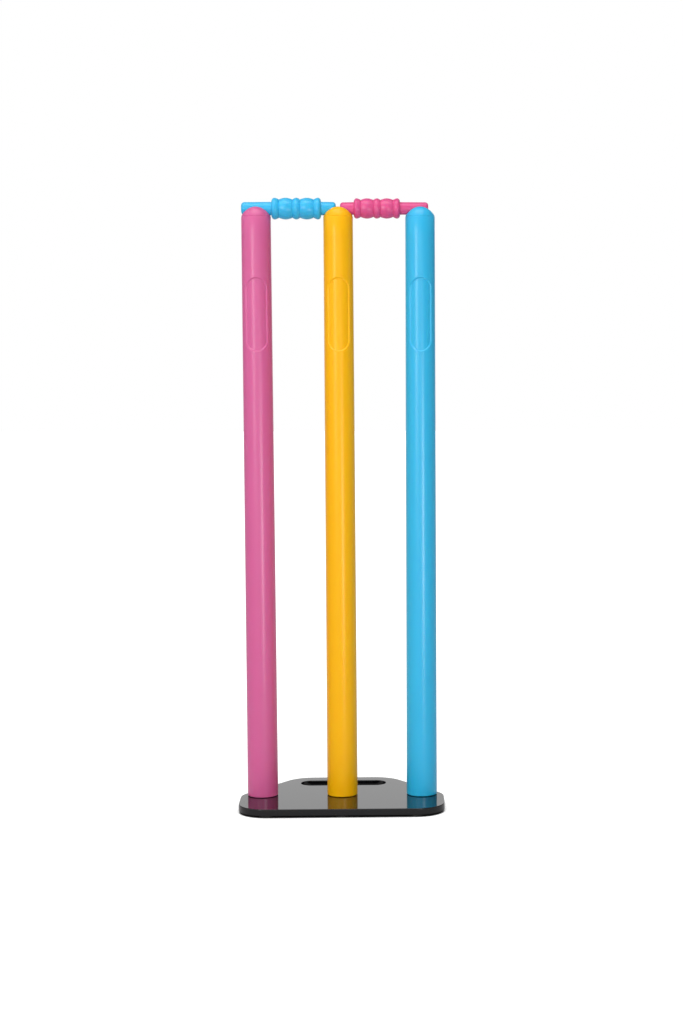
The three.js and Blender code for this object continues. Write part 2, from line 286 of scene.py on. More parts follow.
def draw(name, points):
    """A new object in edit mode, holding one line drawn from point to point."""
    bpy.ops.object.select_all(action="DESELECT")
    bpy.ops.mesh.primitive_plane_add(size=0.01, location=points[0], enter_editmode=True)
    drawn = bpy.context.object
    drawn.name = drawn.data.name = name
    bpy.ops.mesh.select_mode(type="VERT")
    bpy.ops.mesh.select_all(action="SELECT")
    bpy.ops.mesh.merge(type="CENTER")
    for before, after in zip(points, points[1:]):
        step = Vector(after) - Vector(before)
        bpy.ops.mesh.extrude_vertices_move(TRANSFORM_OT_translate={"value": step})
    return drawn


def close_skin():
    """Merges what lies on the same spot and turns the faces outwards."""
    bpy.ops.mesh.select_all(action="SELECT")
    bpy.ops.mesh.remove_doubles(threshold=SAME_SPOT)
    bpy.ops.mesh.normals_make_consistent(inside=False)


def finish_mesh(made):
    """Leaves edit mode and puts the object's place into its mesh."""
    bpy.ops.object.mode_set(mode="OBJECT")
    bpy.ops.object.transform_apply(location=True, rotation=True, scale=True)
    return made


def turn(name, profile, place, steps, axis="Z"):
    """A turned solid from a profile of (radius, position along the axis)."""
    if axis == "Z":
        points = [Vector((place[0] + r, place[1], place[2] + s)) for r, s in profile]
        direction = (0, 0, 1)
    else:
        points = [Vector((place[0] + s, place[1], place[2] + r)) for r, s in profile]
        direction = (1, 0, 0)
    turned = draw(name, points)
    bpy.ops.mesh.select_all(action="SELECT")
    bpy.ops.mesh.spin(steps=steps, angle=FULL, center=place, axis=direction)
    close_skin()
    return finish_mesh(turned)


def slab(name, points, reach, cells=1):
    """A solid from a closed outline that is filled and drawn out along a vector, in equal cells."""
    drawn = draw(name, points)
    bpy.ops.mesh.select_all(action="DESELECT")
    mesh = bmesh.from_edit_mesh(drawn.data)
    for vertex in mesh.verts:
        vertex.select_set(len(vertex.link_edges) == 1)
    bmesh.update_edit_mesh(drawn.data)
    bpy.ops.mesh.edge_face_add()
    bpy.ops.mesh.select_all(action="SELECT")
    bpy.ops.mesh.edge_face_add()
    for _ in range(cells):
        bpy.ops.mesh.extrude_region_move(TRANSFORM_OT_translate={"value": Vector(reach) / cells})
    close_skin()
    return finish_mesh(drawn)


def pick(piece):
    """Makes one object the selected and active one."""
    bpy.ops.object.select_all(action="DESELECT")
    piece.select_set(True)
    bpy.context.view_layer.objects.active = piece


def cut(piece, cutter):
    """Cuts one solid out of another and removes the cutter."""
    pick(piece)
    boolean = piece.modifiers.new("cut", "BOOLEAN")
    boolean.operation = "DIFFERENCE"
    boolean.solver = "EXACT"
    boolean.object = cutter
    bpy.ops.object.modifier_apply(modifier=boolean.name)
    bpy.data.objects.remove(cutter)


def edit(piece):
    """Enters edit mode on one object with nothing selected, and returns its mesh."""
    pick(piece)
    bpy.ops.object.mode_set(mode="EDIT")
    bpy.ops.mesh.select_all(action="DESELECT")
    return bmesh.from_edit_mesh(piece.data)


def select_edges(piece, mesh, test):
    """Selects the edges that a test finds and returns how many they are."""
    bpy.ops.mesh.select_mode(type="EDGE")
    mesh.normal_update()
    found = [edge for edge in mesh.edges if test(edge)]
    for edge in found:
        edge.select_set(True)
    bmesh.update_edit_mesh(piece.data)
    return len(found)


def sharp(edge, degrees=30):
    """Whether an edge's two faces meet at more than an angle."""
    return len(edge.link_faces) == 2 and edge.calc_face_angle(0) > math.radians(degrees)


def edge_middle(edge):
    """The point halfway along an edge."""
    return (edge.verts[0].co + edge.verts[1].co) / 2


def bevel_edges(radius, segments):
    """Rounds the selected edges and leaves edit mode."""
    bpy.ops.mesh.bevel(offset=radius, segments=segments, affect="EDGES", clamp_overlap=False)
    close_skin()
    bpy.ops.object.mode_set(mode="OBJECT")


def check_closed(piece):
    """Raises an error where a solid has a hole or a stray face."""
    mesh = bmesh.new()
    mesh.from_mesh(piece.data)
    open_edges = sum(1 for edge in mesh.edges if len(edge.link_faces) != 2)
    volume = mesh.calc_volume(signed=True)
    mesh.free()
    if open_edges or volume <= 0:
        raise RuntimeError(f"{piece.name}: {open_edges} open edges, volume {volume}")


def smooth(piece, degrees):
    """Smooth shading, with creases where the faces meet at more than an angle."""
    pick(piece)
    bpy.ops.object.shade_smooth_by_angle(angle=math.radians(degrees))


def keep_flat(piece):
    """Lets the large flat faces set the shading, so that their rounded edges don't bend it."""
    bpy.ops.object.modifier_add(type="WEIGHTED_NORMAL")
    weighted = piece.modifiers[-1]
    weighted.keep_sharp = True
    bpy.ops.object.modifier_apply(modifier=weighted.name)


def copy_piece(piece, name, shift):
    """A copy with its own mesh, moved by a vector."""
    pick(piece)
    bpy.ops.object.duplicate(linked=False)
    twin = bpy.context.object
    twin.name = twin.data.name = name
    bpy.ops.transform.translate(value=shift)
    bpy.ops.object.transform_apply(location=True, rotation=True, scale=True)
    return twin


def place_piece(piece, material, body, slot, *nodes):
    """Gives a finished piece its material and its body, and hides the CAD nodes it stands for."""
    piece.data.materials.clear()
    piece.data.materials.append(material)
    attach(piece, body)
    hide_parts(*nodes)


# Materials


def add_node(tree, kind, inputs=None, **settings):
    """Adds a node with its settings, and links or sets its inputs."""
    node = tree.nodes.new(kind)
    for name, value in settings.items():
        setattr(node, name, value)
    for name, value in (inputs or {}).items():
        if isinstance(value, bpy.types.NodeSocket):
            tree.links.new(value, node.inputs[name])
        else:
            node.inputs[name].default_value = value
    return node


def new_material(name):
    """An empty node material and its object coordinates."""
    material = bpy.data.materials.new(name)
    material.use_nodes = True
    material.node_tree.nodes.clear()
    coordinates = add_node(material.node_tree, "ShaderNodeTexCoord")
    return material, material.node_tree, coordinates.outputs["Object"]


def tint(values, factor):
    """A colour made lighter or darker by a factor, with the fourth number of a socket."""
    return (*[min(v * factor, 1.0) for v in values], 1.0)


def noise(tree, vector, length, detail, roughness=0.5):
    """A noise from 0 to 1 whose features have a length in metres."""
    texture = add_node(
        tree, "ShaderNodeTexNoise",
        {"Vector": vector, "Scale": 1 / length, "Detail": detail, "Roughness": roughness},
    )
    return texture.outputs["Fac"]


def spread(tree, value, low, high):
    """A number that goes from low to high as the value goes from 0 to 1."""
    step = add_node(tree, "ShaderNodeMapRange", {"Value": value, "To Min": low, "To Max": high})
    return step.outputs["Result"]


def mottle(tree, value, colours, low, high):
    """A colour that is tinted by factors from low to high as the value goes from 0 to 1."""
    shade = add_node(
        tree, "ShaderNodeMix",
        {"Factor": value, "A": tint(colours, low), "B": tint(colours, high)}, data_type="RGBA",
    )
    return shade.outputs["Result"]


def relief(tree, value, strength, depth):
    """A bump as deep as the value says, with the depth in metres."""
    bump = add_node(
        tree, "ShaderNodeBump", {"Height": value, "Strength": strength, "Distance": depth}
    )
    return bump.outputs["Normal"]


def add_surface(tree, inputs):
    """The shader of a material and its output."""
    surface = add_node(tree, "ShaderNodeBsdfPrincipled", inputs)
    add_node(tree, "ShaderNodeOutputMaterial", {"Surface": surface.outputs["BSDF"]})


def moulded_plastic(name, values, gloss_tint, depth):
    """Polypropylene, injection moulded in a finely eroded steel tool.

    It gives the eye a satin skin with soft highlights, and a softer shade, because light goes a
    little way into it. The highlights are white for a gloss_tint of 1, and take on the plastic's
    colour below that.
    """
    material, tree, place = new_material(name)
    # Pigment flows along the length of the moulding: long faint streaks, a few millimetres wide
    along = add_node(tree, "ShaderNodeMapping", {"Vector": place, "Scale": (1.0, 1.0, 0.12)})
    flow = noise(tree, along.outputs["Vector"], length=0.012, detail=3.0)
    # The tool's eroded skin: grain of a third of a millimetre, as fine as the picture can hold
    grain = noise(tree, place, length=0.00035, detail=2.0, roughness=0.6)
    # Even light of the colours that the pigment blocks goes a little way in
    least_reach = 0.08
    add_surface(
        tree,
        {
            "Base Color": mottle(tree, flow, values, 0.97, 1.03),
            "Roughness": spread(tree, grain, 0.26, 0.34),
            "Normal": relief(tree, grain, strength=0.2, depth=0.00003),
            "IOR": 1.49,
            "Subsurface Weight": 0.25,
            "Subsurface Radius": [max(v, least_reach) for v in values],
            "Subsurface Scale": depth,
            "Specular Tint": tint([gloss_tint + (1 - gloss_tint) * v for v in values], 1.0),
        },
    )
    return material


def gloss_coating(name, values):
    """Black polyester powder coating, baked on steel.

    It gives the eye a deep black gloss that mirrors the stumps, with a faint orange peel.
    """
    material, tree, place = new_material(name)
    peel = noise(tree, place, length=0.0035, detail=2.0, roughness=0.45)
    # Dust nibs and polish differ from spot to spot over a few centimetres
    haze = noise(tree, place, length=0.03, detail=4.0, roughness=0.6)
    add_surface(
        tree,
        {
            "Base Color": mottle(tree, haze, values, 0.85, 1.15),
            "Roughness": spread(tree, haze, 0.06, 0.11),
            "Normal": relief(tree, peel, strength=0.12, depth=0.00002),
            "IOR": 1.45,
        },
    )
    return material


def plain_finish(name, values, roughness, metallic, grain_size, depth):
    """A finish with a fine even grain in its colour, its gloss and its relief, for small parts."""
    material, tree, place = new_material(name)
    grain = noise(tree, place, length=grain_size, detail=3.0, roughness=0.6)
    add_surface(
        tree,
        {
            "Base Color": mottle(tree, grain, values, 0.85, 1.12),
            "Roughness": spread(tree, grain, roughness - 0.07, roughness + 0.07),
            "Normal": relief(tree, grain, strength=0.3, depth=depth),
            "Metallic": metallic,
        },
    )
    return material


# Stumps


def stump_radius(sizes, height):
    """Outer radius of a stump's taper at a height over its foot."""
    base = sizes.length - sizes.dome_height
    return (sizes.foot_diameter + (sizes.top_diameter - sizes.foot_diameter) * height / base) / 2


def stump_profile(sizes):
    """Half section of a stump: down its hollow, round the foot, up the wall and over the dome."""
    foot = sizes.foot_diameter / 2
    top = sizes.top_diameter / 2
    base = sizes.length - sizes.dome_height
    hollow_top = base + sizes.groove_rise - sizes.crown_wall
    hollow_end = stump_radius(sizes, hollow_top) - sizes.wall
    turn_in = sizes.hollow_round
    rebate = foot - sizes.wall + sizes.rebate_width
    profile = [(0.0, hollow_top)]
    inner = (hollow_end - turn_in, hollow_top - turn_in, turn_in)
    profile += arc(*inner, QUARTER, 0, SMALL_ARC_STEPS)
    profile += [
        (stump_radius(sizes, sizes.rebate_depth) - sizes.wall, sizes.rebate_depth),
        (rebate, sizes.rebate_depth),
        (rebate, 0.0),
    ]
    outer = (foot - sizes.foot_round, sizes.foot_round, sizes.foot_round)
    profile += arc(*outer, -QUARTER, 0, SMALL_ARC_STEPS)
    # The wall has coarse rows, and fine ones where the panel is sunk
    panel_high = base - sizes.panel_drop + 2 * sizes.panel_rim
    panel_low = base - sizes.panel_drop - sizes.panel_height - 2 * sizes.panel_rim
    fine_rows = round((panel_high - panel_low) / sizes.row_height)
    heights = [panel_low * i / COARSE_ROWS for i in range(1, COARSE_ROWS)]
    heights += [panel_low + (panel_high - panel_low) * i / fine_rows for i in range(fine_rows + 1)]
    heights += [panel_high + (base - panel_high) * i / UPPER_ROWS for i in range(1, UPPER_ROWS)]
    profile += [(stump_radius(sizes, height), height) for height in heights]
    # A fine line runs round the base of the dome
    dome_radius = (top**2 + sizes.dome_height**2) / (2 * sizes.dome_height)
    centre = sizes.length - dome_radius
    half_seam = sizes.seam_width / 2
    start = math.asin((base + half_seam - centre) / dome_radius)
    profile += [
        (stump_radius(sizes, base - half_seam), base - half_seam),
        (top - sizes.seam_depth, base),
    ]
    dome = arc(0.0, centre, dome_radius, start, QUARTER, DOME_STEPS)
    profile += dome[:-1] + [(0.0, sizes.length)]
    return profile


def groove_cutter(sizes, place):
    """The bail groove as a solid: upright sides on a half-round floor, in cells of half a mm."""
    radius = sizes.groove_width / 2
    floor = place.z + sizes.length - sizes.dome_height + sizes.groove_rise
    centre = floor + radius
    top = place.z + sizes.length + radius
    sides = GROOVE_SIDE_STEPS
    rise = [(radius, centre + (top - centre) * i / sides) for i in range(sides, 0, -1)]
    bottom = arc(0.0, centre, radius, 0, -math.pi, GROOVE_FLOOR_STEPS)
    outline = [*rise, *bottom, *[(-y, z) for y, z in reversed(rise)]]
    reach = sizes.foot_diameter / 2 + radius
    points = [Vector((place.x - reach, place.y + y, z)) for y, z in outline]
    return slab("groove_cutter", points, (2 * reach, 0, 0), GROOVE_CELLS)


def panel_share(sizes, x, z):
    """How far a point of the wall is let in for the panel: 0 outside its rim, 1 on its floor."""
    base = sizes.length - sizes.dome_height
    middle = base - sizes.panel_drop - sizes.panel_height / 2
    radius = sizes.panel_width / 2
    straight = sizes.panel_height / 2 - radius
    rise = z - middle
    beyond = max(abs(rise) - straight, 0.0)
    reach = math.hypot(x, beyond)
    if reach < SAME_SPOT:
        return 1.0
    # The wall turns away at the sides, so a step across it looks shorter there
    wall = stump_radius(sizes, z)
    flattest = 0.01
    lean = math.sqrt(max(1 - (x / wall) ** 2, flattest))
    slope = math.hypot(x / reach * lean, beyond / reach)
    inside = (radius - reach) / slope
    return min(max(inside / sizes.panel_rim, 0.0), 1.0)


def sink_panel(piece, sizes, place):
    """Lets the panel into the front of the wall."""
    group = piece.vertex_groups.new(name="panel")
    for vertex in piece.data.vertices:
        x, y, z = vertex.co - place
        outer = math.hypot(x, y) > stump_radius(sizes, z) - sizes.wall / 2
        if y < 0 and outer and abs(x) < sizes.panel_width / 2:
            weight = panel_share(sizes, x, z)
            if weight > 0:
                group.add([vertex.index], weight, "REPLACE")
    press = piece.modifiers.new("panel", "DISPLACE")
    press.vertex_group = group.name
    press.direction = "NORMAL"
    press.mid_level = 0.0
    press.strength = -sizes.panel_depth
    bpy.ops.object.modifier_apply(modifier=press.name)
    piece.vertex_groups.clear()


def soften_groove_rim(piece, sizes, place):
    """Rounds over the rim of the bail groove by smoothing the small faces beside it."""
    over_seam = place.z + sizes.length - sizes.dome_height + sizes.seam_width
    mesh = edit(piece)
    if not select_edges(
        piece, mesh, lambda edge: sharp(edge) and edge_middle(edge).z > over_seam
    ):
        raise RuntimeError("the bail groove has no rim")
    bpy.ops.mesh.select_mode(type="VERT")
    bpy.ops.mesh.select_more()
    bpy.ops.mesh.vertices_smooth(factor=sizes.groove_softening, repeat=3)
    bpy.ops.object.mode_set(mode="OBJECT")


class WICKET_OT_stumps(bpy.types.Operator):
    """Model one stump and copy it to the three places in the row"""

    bl_idname = "wicket.stumps"
    bl_label = "Stumps"

    def execute(self, context):
        sizes = context.scene.wicket_stumps
        place = Vector((0.0, ROW, STUMP_LOW.z))
        stump = turn("middle_stump_moulding", stump_profile(sizes), place, sizes.steps)
        sink_panel(stump, sizes, place)
        cut(stump, groove_cutter(sizes, place))
        soften_groove_rim(stump, sizes, place)
        check_closed(stump)
        smooth(stump, degrees=40)
        plastics = (
            ("pink", sizes.left_colour, 0.9),
            ("blue", sizes.right_colour, 1.0),
            ("yellow", sizes.middle_colour, 0.5),
        )
        for side, (shade, values, gloss_tint) in zip(MIDDLE_LAST, plastics):
            node = f"{side}_stump"
            piece = stump
            if side != "middle":
                piece = copy_piece(stump, f"{side}_stump_moulding", (node_middle(node).x, 0, 0))
            name = f"moulded_polypropylene_{shade}"
            material = moulded_plastic(name, values, gloss_tint, depth=0.001)
            place_piece(piece, material, "stand", f"stump_{shade}", node)
        return {"FINISHED"}


# Bails


def bead_points(sizes, start, end):
    """A bead with a rounded crown between two valleys, and the fine line cut at its start."""
    crown = sizes.crown_diameter / 2
    valley = sizes.valley_diameter / 2
    full = math.sqrt(1 + 1 / sizes.crown_softness**2) - 1
    reach = (end - start - sizes.notch_width) / 2
    points = [(valley - sizes.notch_depth, start)]
    for i in range(BEAD_STEPS + 1):
        t = -1 + 2 * i / BEAD_STEPS
        drop = (math.sqrt(1 + (t / sizes.crown_softness) ** 2) - 1) / full
        points.append((crown - (crown - valley) * drop, (start + end) / 2 + reach * t))
    return points


def bail_profile(sizes):
    """Half section of a bail from the end of its long spigot to the end of its short one."""
    crown = sizes.crown_diameter / 2
    valley = sizes.valley_diameter / 2
    spigot = sizes.spigot_diameter / 2
    end = spigot - sizes.spigot_draft
    round_end = sizes.spigot_round
    root = sizes.long_spigot
    far = root + sizes.barrel_length
    total = far + sizes.short_spigot
    collar = sizes.collar_share * sizes.barrel_length
    bead = sizes.bead_share * sizes.barrel_length
    middle = sizes.barrel_length - 2 * collar - 2 * bead
    # Each end collar rises steeply from the spigot and falls to the first valley as a bead does
    flank = [
        (spigot + (crown - spigot) * math.sin(a), sizes.flank * (1 - math.cos(a)))
        for a in [QUARTER * i / FLANK_STEPS for i in range(FLANK_STEPS + 1)]
    ]
    beyond_crown = BEAD_STEPS // 2 + 2
    fall = bead_points(sizes, 2 * sizes.flank - collar, collar)[beyond_crown:]
    profile = [(0.0, 0.0)]
    profile += arc(end - round_end, round_end, round_end, -QUARTER, 0, SPIGOT_END_STEPS)
    profile += [(r, root + s) for r, s in [*flank, *fall]]
    start = root + collar
    for width in (bead, middle, bead):
        profile += bead_points(sizes, start, start + width)
        start += width
    profile.append((valley - sizes.notch_depth, start))
    profile += [(r, far - s) for r, s in reversed([*flank, *fall])]
    profile += arc(end - round_end, total - round_end, round_end, 0, QUARTER, SPIGOT_END_STEPS)
    profile.append((0.0, total))
    return profile


class WICKET_OT_bails(bpy.types.Operator):
    """Model the left bail, and the right one as a smaller copy turned end for end"""

    bl_idname = "wicket.bails"
    bl_label = "Bails"

    def execute(self, context):
        sizes = context.scene.wicket_bails
        axis = (LEFT_BAIL_LOW.z + LEFT_BAIL_HIGH.z) / 2
        place = (LEFT_BAIL_LOW.x + sizes.left_shift, ROW, axis)
        left = turn("left_bail_turning", bail_profile(sizes), place, sizes.steps, axis="X")
        check_closed(left)
        smooth(left, degrees=28)
        start = node_middle("left_bail") + Vector((sizes.left_shift, 0, 0))
        target = node_middle("right_bail") + Vector((sizes.right_shift, 0, sizes.right_lift))
        scale = (RIGHT_BAIL_HIGH.x - RIGHT_BAIL_LOW.x) / (LEFT_BAIL_HIGH.x - LEFT_BAIL_LOW.x)
        right = copy_piece(left, "right_bail_turning", target - start)
        bpy.ops.object.mode_set(mode="EDIT")
        bpy.ops.mesh.select_all(action="SELECT")
        bpy.ops.transform.resize(value=(scale, scale, scale), center_override=target)
        bpy.ops.transform.rotate(value=math.pi, orient_axis="Z", center_override=target)
        bpy.ops.object.mode_set(mode="OBJECT")
        check_closed(right)
        for piece, side, values, shade in (
            (left, "left", sizes.left_colour, "blue"),
            (right, "right", sizes.right_colour, "pink"),
        ):
            name = f"moulded_polypropylene_bail_{shade}"
            material = moulded_plastic(name, values, gloss_tint=0.8, depth=0.0008)
            place_piece(piece, material, f"{side}_bail", f"bail_{shade}", f"{side}_bail")
        return {"FINISHED"}


# Base plate


def rounded_outline(corners, steps):
    """The outline through corners of (x, y, radius), with each corner rounded by an arc."""
    outline = []
    for index, (x, y, radius) in enumerate(corners):
        corner = Vector((x, y))
        before = (corner - Vector(corners[index - 1][:2])).normalized()
        after = (Vector(corners[(index + 1) % len(corners)][:2]) - corner).normalized()
        bend = before.angle(after)
        start = corner - before * radius * math.tan(bend / 2)
        centre = start + Vector((-before.y, before.x)) * radius
        angle = math.atan2(start.y - centre.y, start.x - centre.x)
        outline += arc(centre.x, centre.y, radius, angle, angle + bend, steps)
    return outline


class WICKET_OT_base_plate(bpy.types.Operator):
    """Model the base plate with its rounded outline, hand slot and countersunk holes"""

    bl_idname = "wicket.base_plate"
    bl_label = "Base Plate"

    def execute(self, context):
        sizes = context.scene.wicket_plate
        half = PLATE_HIGH.x
        rear = sizes.rear_width / 2
        shoulder = PLATE_LOW.y + sizes.shoulder
        low = PLATE_LOW.z
        corners = [
            (-half, PLATE_LOW.y, sizes.front_radius),
            (half, PLATE_LOW.y, sizes.front_radius),
            (half, shoulder, sizes.shoulder_radius),
            (rear, PLATE_HIGH.y, sizes.rear_radius),
            (-rear, PLATE_HIGH.y, sizes.rear_radius),
            (-half, shoulder, sizes.shoulder_radius),
        ]
        outline = rounded_outline(corners, sizes.corner_steps)
        thickness = PLATE_HIGH.z - low
        plate = slab("coated_base_plate", [(x, y, low) for x, y in outline], (0, 0, thickness))

        slot_middle = PLATE_HIGH.y - sizes.slot_inset
        radius = sizes.slot_width / 2
        straight = sizes.slot_length / 2 - radius
        steps = 2 * sizes.corner_steps
        slot = arc(straight, slot_middle, radius, -QUARTER, QUARTER, steps)
        slot += arc(-straight, slot_middle, radius, QUARTER, 3 * QUARTER, steps)
        # The cutters reach past both faces of the plate
        under = low - thickness / 2
        depth = 2 * thickness
        cut(plate, slab("slot_cutter", [(x, y, under) for x, y in slot], (0, 0, depth)))

        mesh = edit(plate)
        if not select_edges(plate, mesh, lambda edge: sharp(edge, degrees=60)):
            raise RuntimeError("the base plate has no edges to round")
        bevel_edges(sizes.edge_round, segments=4)

        bore = sizes.hole_diameter / 2
        sink = sizes.sink_diameter / 2
        hole = [
            (0.0, -sink),
            (sink, -sink),
            (sink, sizes.sink_rim),
            (bore, sizes.sink_rim + sink - bore),
            (bore, depth),
            (0.0, depth),
        ]
        for side in SIDES:
            place = (node_middle(f"{side}_stump").x, ROW, low)
            cut(plate, turn("hole_cutter", hole, place, HOLE_STEPS))
        check_closed(plate)
        smooth(plate, degrees=30)
        keep_flat(plate)
        material = gloss_coating("powder_coating_black", sizes.coating)
        place_piece(plate, material, "stand", "plate_coating", "base_plate")
        return {"FINISHED"}


# Fixings


class WICKET_OT_ground_pads(bpy.types.Operator):
    """Model one rubber pad and copy it to the six places under the plate"""

    bl_idname = "wicket.ground_pads"
    bl_label = "Ground Pads"

    def execute(self, context):
        sizes = context.scene.wicket_fixings
        nodes = [f"{row}_{side}_pad" for row in ("front", "rear") for side in SIDES]
        low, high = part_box(nodes[0])
        middle = node_middle(nodes[0])
        radius = (high.x - low.x) / 2
        height = high.z - low.z
        edge = sizes.pad_round
        ring = radius * sizes.dish_share
        profile = [(0.0, sizes.pad_dish), (ring, sizes.pad_dish), (ring + sizes.pad_dish, 0.0)]
        profile += arc(radius - edge, edge, edge, -QUARTER, 0, steps=5)
        profile += arc(radius - edge / 2, height - edge / 2, edge / 2, 0, QUARTER, steps=3)
        profile.append((0.0, height))
        pad = turn("front_left_rubber_pad", profile, (middle.x, middle.y, 0.0), PAD_STEPS)
        check_closed(pad)
        smooth(pad, degrees=35)
        # Nitrile rubber, pressed in a tool: matt, with a grain of half a millimetre
        material = plain_finish(
            "pressed_rubber", sizes.rubber,
            roughness=0.82, metallic=0.0, grain_size=0.0005, depth=0.00006,
        )
        # The first pad is placed last, for the same reason as the stump in the middle
        for node in reversed(nodes):
            piece = pad
            if node != nodes[0]:
                name = node.replace("_pad", "_rubber_pad")
                piece = copy_piece(pad, name, node_middle(node) - middle)
            place_piece(piece, material, "stand", "pad_rubber", node)
        return {"FINISHED"}


class WICKET_OT_base_screws(bpy.types.Operator):
    """Model one countersunk screw and copy it to the three holes of the plate"""

    bl_idname = "wicket.base_screws"
    bl_label = "Base Screws"

    def execute(self, context):
        sizes = context.scene.wicket_fixings
        head = (SCREW_HIGH.x - SCREW_LOW.x) / 2
        shank = sizes.thread_diameter / 2
        core = shank - sizes.thread_depth
        cone_top = sizes.head_rim + head - shank
        length = SCREW_HIGH.z - SCREW_LOW.z
        place = Vector((0.0, ROW, SCREW_LOW.z))
        profile = [(0.0, 0.0), (head, 0.0), (head, sizes.head_rim), (shank, cone_top)]
        pitch = sizes.thread_pitch
        turns = int((length - sizes.tip_chamfer - cone_top) / pitch)
        for index in range(turns):
            low = cone_top + index * pitch
            # The root of the thread is flat over a tenth of the pitch
            profile += [(core, low + pitch * 0.45), (core, low + pitch * 0.55)]
            profile.append((shank, low + pitch))
        tip = sizes.tip_chamfer
        profile += [(shank, length - tip), (shank - tip, length), (0.0, length)]
        screw = turn("middle_countersunk_screw", profile, place, SCREW_STEPS)
        corner = sizes.socket_width / math.sqrt(3)
        angles = [FULL * i / 6 for i in range(6)]
        under = place.z - head
        hexagon = [(corner * math.cos(a), ROW + corner * math.sin(a), under) for a in angles]
        cut(screw, slab("socket_cutter", hexagon, (0, 0, head + sizes.socket_depth)))
        mesh = edit(screw)
        rim = place.z + sizes.socket_depth / 2
        if not select_edges(
            screw, mesh, lambda edge: sharp(edge, degrees=40) and edge_middle(edge).z < rim
        ):
            raise RuntimeError("the screw's head has no edges to break")
        bevel_edges(sizes.edge_break, segments=2)
        check_closed(screw)
        smooth(screw, degrees=35)
        # Steel, zinc plated and passivated: a bright, slightly grey metal with a fine grain
        material = plain_finish(
            "zinc_plated_steel", sizes.steel,
            roughness=0.3, metallic=1.0, grain_size=0.0006, depth=0.00001,
        )
        for side in MIDDLE_LAST:
            node = f"{side}_base_screw"
            piece = screw
            if side != "middle":
                piece = copy_piece(screw, f"{side}_countersunk_screw", (node_middle(node).x, 0, 0))
            place_piece(piece, material, "stand", "screw_steel", node)
        return {"FINISHED"}


class WICKET_OT_foot_fittings(bpy.types.Operator):
    """Give the foot plugs and their inserts, hidden in the stumps, their finishes"""

    bl_idname = "wicket.foot_fittings"
    bl_label = "Foot Fittings"

    def execute(self, context):
        sizes = context.scene.wicket_fixings
        # Nylon with glass fibre, moulded: satin black with a fine mottle
        nylon = plain_finish(
            "moulded_nylon", sizes.nylon,
            roughness=0.5, metallic=0.0, grain_size=0.0009, depth=0.00003,
        )
        # Free-cutting brass, turned: a warm metal with a fine grain
        brass = plain_finish(
            "turned_brass", sizes.brass,
            roughness=0.3, metallic=1.0, grain_size=0.0004, depth=0.00001,
        )
        for side in SIDES:
            for node, material in ((f"{side}_foot_plug", nylon), (f"{side}_insert", brass)):
                for place in frame["nodes"][node].material_slots:
                    place.material = material
        return {"FINISHED"}


# Studio

# The camera, from a fit to the wicket's measured edges. Angles are in radians
CAMERA_PLACE = (0.04598, -2.24223, 0.51454)
CAMERA_PITCH, CAMERA_YAW, CAMERA_ROLL = 0.10738, 0.02438, -0.00296
CAMERA_SHIFT = (-0.08156, 0.06339)
SENSOR_WIDTH = 36.0
FLOOR_SIDE = 30.0
# Each lamp's name, its place, the point it looks at, its width and height, and its power in watts
LAMPS = (
    ("tall_lamp_left", (-0.97, -1.7, 0.95), (0, 0, 0.95), (0.36, 1.15), 10.5),
    ("low_lamp_right", (0.53, -1.5, 0.21), (0, 0, 0.21), (0.24, 0.46), 5.6),
    ("broad_lamp_front", (-0.25, -2.9, 0.8), (0, 0, 0.5), (2.2, 1.5), 8.0),
    ("overhead_lamp", (-0.1, -0.6, 2.3), (0, 0, 0.2), (1.6, 1.1), 15.0),
)


def calculate(tree, operation, first, second):
    """Two numbers joined by an operation."""
    joined = add_node(tree, "ShaderNodeMath", {0: first, 1: second}, operation=operation)
    return joined.outputs["Value"]


def blend(tree, factor, first, second):
    """A number that goes from the first to the second as the factor goes from 0 to 1."""
    blended = add_node(tree, "ShaderNodeMix", {"Factor": factor, "A": first, "B": second})
    return blended.outputs["Result"]


def ramp(tree, value, span, levels):
    """A soft step from one level to another while the value goes through its span."""
    (start, end), (first, last) = span, levels
    step = add_node(
        tree, "ShaderNodeMapRange",
        {"Value": value, "From Min": start, "From Max": end, "To Min": first, "To Max": last},
        interpolation_type="SMOOTHSTEP",
    )
    return step.outputs["Result"]


def white_for_eye(tree, gloss_level):
    """1 for rays from the camera or a clear material, a level for those from a gloss, else 0."""
    path = add_node(tree, "ShaderNodeLightPath")
    gloss = calculate(tree, "MULTIPLY", path.outputs["Is Glossy Ray"], gloss_level)
    seen = calculate(tree, "MAXIMUM", path.outputs["Is Camera Ray"], gloss)
    return calculate(tree, "MAXIMUM", seen, path.outputs["Is Transmission Ray"])


